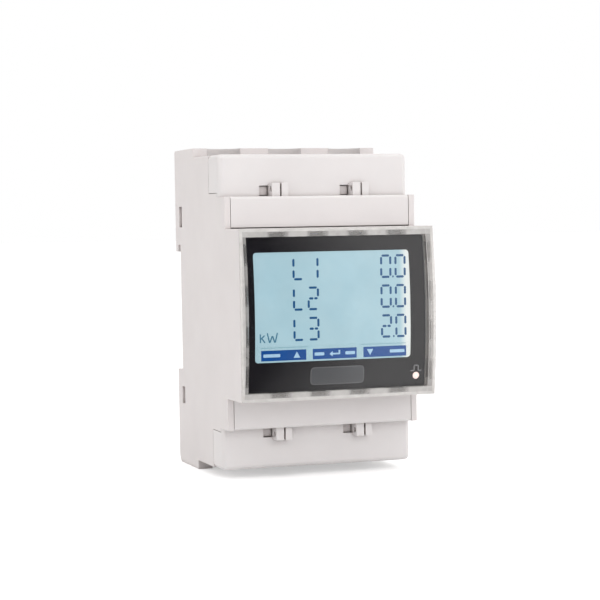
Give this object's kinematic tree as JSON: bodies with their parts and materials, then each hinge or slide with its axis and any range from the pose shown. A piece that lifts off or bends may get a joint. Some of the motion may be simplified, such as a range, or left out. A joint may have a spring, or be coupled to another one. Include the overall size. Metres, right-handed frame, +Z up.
{
  "type": "smart electric meter",
  "caption": "Rail-mounted three-phase electricity meter with a bulged clear window, lit display, sealable terminal covers and a sprung rail clip.",
  "frame": {"origin": "centre of the flat face that seats on the mounting rail", "axes": "+X to the right seen from the front, +Y back into the rail, +Z up, so the display faces -Y"},
  "size_m": [0.054, 0.065, 0.09],
  "materials": {
    "housing": "fine spark-eroded texture, warm light grey",
    "cover": "fine spark-eroded texture, warm light grey",
    "clip": "smooth, warm light grey",
    "clear": "polished clear polycarbonate",
    "label": "satin black printed film",
    "display": "pale blue lit display glass",
    "frost": "frosted white acrylic",
    "inner_plastic": "black moulded plastic",
    "strip": "soft layered silicone",
    "foil": "clear printed film",
    "lamp": "milky epoxy",
    "laminate": "green solder mask",
    "chip": "black moulding compound",
    "film_box": "yellow moulded box",
    "can": "sleeved aluminium can",
    "disc": "blue dipped epoxy",
    "winding": "taped winding on ferrite",
    "coil": "potted ring",
    "copper": "tinned and bare copper",
    "zinc": "zinc-plated steel",
    "pin": "gold-flashed brass",
    "block": "green moulded terminal block"
  },
  "bodies": {
    "meter_body": {"main_housing": "housing", "rear_base": "housing", "window": "clear", "label_panel": "label", "lcd_glass": "display", "touch_key_foil": "foil", "light_guide": "frost", "contact_strip": "strip", "lcd_frame": "inner_plastic", "pulse_led": "lamp", "display_board": "laminate", "display_driver_chip": "chip", "backlight_leds": "lamp", "main_board": "laminate", "board_screws": "zinc", "metering_chip": "chip", "signal_isolator": "chip", "film_capacitor": "film_box", "supply_transformer": "winding", "electrolytic_capacitors": "can", "varistors": "disc", "board_header": "inner_plastic", "header_pins": "pin", "coil_carrier": "inner_plastic", "voltage_taps": "copper", "signal_terminal_block": "block", "signal_contacts": "copper", "phase_busbar_1": "copper", "current_transformer_1": "coil", "phase_busbar_2": "copper", "current_transformer_2": "coil", "phase_busbar_3": "copper", "current_transformer_3": "coil"},
    "top_cover": {"top_terminal_cover": "cover"},
    "bottom_cover": {"bottom_terminal_cover": "cover"},
    "clip": {"rail_clip": "clip"},
    "screw_top_1": {"main_screw_top_1": "zinc"},
    "cage_top_1": {"main_cage_top_1": "zinc"},
    "screw_top_2": {"main_screw_top_2": "zinc"},
    "cage_top_2": {"main_cage_top_2": "zinc"},
    "screw_top_3": {"main_screw_top_3": "zinc"},
    "cage_top_3": {"main_cage_top_3": "zinc"},
    "screw_bottom_1": {"main_screw_bottom_1": "zinc"},
    "cage_bottom_1": {"main_cage_bottom_1": "zinc"},
    "screw_bottom_2": {"main_screw_bottom_2": "zinc"},
    "cage_bottom_2": {"main_cage_bottom_2": "zinc"},
    "screw_bottom_3": {"main_screw_bottom_3": "zinc"},
    "cage_bottom_3": {"main_cage_bottom_3": "zinc"},
    "small_screw_1": {"signal_screw_1": "zinc"},
    "small_cage_1": {"signal_cage_1": "zinc"},
    "small_screw_2": {"signal_screw_2": "zinc"},
    "small_cage_2": {"signal_cage_2": "zinc"},
    "small_screw_3": {"signal_screw_3": "zinc"},
    "small_cage_3": {"signal_cage_3": "zinc"},
    "small_screw_4": {"signal_screw_4": "zinc"},
    "small_cage_4": {"signal_cage_4": "zinc"}
  },
  "joints": [
    {"name": "top_cover_lift_off", "type": "slide", "parent": "meter_body", "child": "top_cover", "axis": [0, -1, 0], "range_m": [0, 0.04]},
    {"name": "bottom_cover_lift_off", "type": "slide", "parent": "meter_body", "child": "bottom_cover", "axis": [0, -1, 0], "range_m": [0, 0.04]},
    {"name": "rail_clip_slide", "type": "slide", "parent": "meter_body", "child": "clip", "axis": [0, 0, -1], "range_m": [0, 0.0045], "stiffness_N_per_m": 1500, "springref_m": -0.001},
    {"name": "main_screw_turn_top_1", "type": "hinge", "parent": "meter_body", "child": "screw_top_1", "pos_m": [-0.018, -0.0207, 0.03575], "axis": [0, 1, 0], "range_deg": [0, 2880]},
    {"name": "main_cage_clamp_top_1", "type": "slide", "parent": "meter_body", "child": "cage_top_1", "axis": [0, -1, 0], "range_m": [0, 0.0064]},
    {"name": "main_screw_turn_top_2", "type": "hinge", "parent": "meter_body", "child": "screw_top_2", "pos_m": [0, -0.0207, 0.03575], "axis": [0, 1, 0], "range_deg": [0, 2880]},
    {"name": "main_cage_clamp_top_2", "type": "slide", "parent": "meter_body", "child": "cage_top_2", "axis": [0, -1, 0], "range_m": [0, 0.0064]},
    {"name": "main_screw_turn_top_3", "type": "hinge", "parent": "meter_body", "child": "screw_top_3", "pos_m": [0.018, -0.0207, 0.03575], "axis": [0, 1, 0], "range_deg": [0, 2880]},
    {"name": "main_cage_clamp_top_3", "type": "slide", "parent": "meter_body", "child": "cage_top_3", "axis": [0, -1, 0], "range_m": [0, 0.0064]},
    {"name": "main_screw_turn_bottom_1", "type": "hinge", "parent": "meter_body", "child": "screw_bottom_1", "pos_m": [-0.018, -0.0207, -0.03575], "axis": [0, 1, 0], "range_deg": [0, 2880]},
    {"name": "main_cage_clamp_bottom_1", "type": "slide", "parent": "meter_body", "child": "cage_bottom_1", "axis": [0, -1, 0], "range_m": [0, 0.0064]},
    {"name": "main_screw_turn_bottom_2", "type": "hinge", "parent": "meter_body", "child": "screw_bottom_2", "pos_m": [0, -0.0207, -0.03575], "axis": [0, 1, 0], "range_deg": [0, 2880]},
    {"name": "main_cage_clamp_bottom_2", "type": "slide", "parent": "meter_body", "child": "cage_bottom_2", "axis": [0, -1, 0], "range_m": [0, 0.0064]},
    {"name": "main_screw_turn_bottom_3", "type": "hinge", "parent": "meter_body", "child": "screw_bottom_3", "pos_m": [0.018, -0.0207, -0.03575], "axis": [0, 1, 0], "range_deg": [0, 2880]},
    {"name": "main_cage_clamp_bottom_3", "type": "slide", "parent": "meter_body", "child": "cage_bottom_3", "axis": [0, -1, 0], "range_m": [0, 0.0064]},
    {"name": "signal_screw_turn_1", "type": "hinge", "parent": "meter_body", "child": "small_screw_1", "pos_m": [-0.0075, -0.038, -0.0252], "axis": [0, 1, 0], "range_deg": [0, 1620]},
    {"name": "signal_cage_clamp_1", "type": "slide", "parent": "meter_body", "child": "small_cage_1", "axis": [0, -1, 0], "range_m": [0, 0.00202]},
    {"name": "signal_screw_turn_2", "type": "hinge", "parent": "meter_body", "child": "small_screw_2", "pos_m": [-0.0025, -0.038, -0.0252], "axis": [0, 1, 0], "range_deg": [0, 1620]},
    {"name": "signal_cage_clamp_2", "type": "slide", "parent": "meter_body", "child": "small_cage_2", "axis": [0, -1, 0], "range_m": [0, 0.00202]},
    {"name": "signal_screw_turn_3", "type": "hinge", "parent": "meter_body", "child": "small_screw_3", "pos_m": [0.0025, -0.038, -0.0252], "axis": [0, 1, 0], "range_deg": [0, 1620]},
    {"name": "signal_cage_clamp_3", "type": "slide", "parent": "meter_body", "child": "small_cage_3", "axis": [0, -1, 0], "range_m": [0, 0.00202]},
    {"name": "signal_screw_turn_4", "type": "hinge", "parent": "meter_body", "child": "small_screw_4", "pos_m": [0.0075, -0.038, -0.0252], "axis": [0, 1, 0], "range_deg": [0, 1620]},
    {"name": "signal_cage_clamp_4", "type": "slide", "parent": "meter_body", "child": "small_cage_4", "axis": [0, -1, 0], "range_m": [0, 0.00202]}
  ],
  "couplings": [
    {"joint": "main_screw_turn_top_1", "follows": "main_cage_clamp_top_1", "rad_per_m": 7853.9},
    {"joint": "main_screw_turn_top_2", "follows": "main_cage_clamp_top_2", "rad_per_m": 7853.9},
    {"joint": "main_screw_turn_top_3", "follows": "main_cage_clamp_top_3", "rad_per_m": 7853.9},
    {"joint": "main_screw_turn_bottom_1", "follows": "main_cage_clamp_bottom_1", "rad_per_m": 7853.9},
    {"joint": "main_screw_turn_bottom_2", "follows": "main_cage_clamp_bottom_2", "rad_per_m": 7853.9},
    {"joint": "main_screw_turn_bottom_3", "follows": "main_cage_clamp_bottom_3", "rad_per_m": 7853.9},
    {"joint": "signal_screw_turn_1", "follows": "signal_cage_clamp_1", "rad_per_m": 13963},
    {"joint": "signal_screw_turn_2", "follows": "signal_cage_clamp_2", "rad_per_m": 13963},
    {"joint": "signal_screw_turn_3", "follows": "signal_cage_clamp_3", "rad_per_m": 13963},
    {"joint": "signal_screw_turn_4", "follows": "signal_cage_clamp_4", "rad_per_m": 13963}
  ]
}
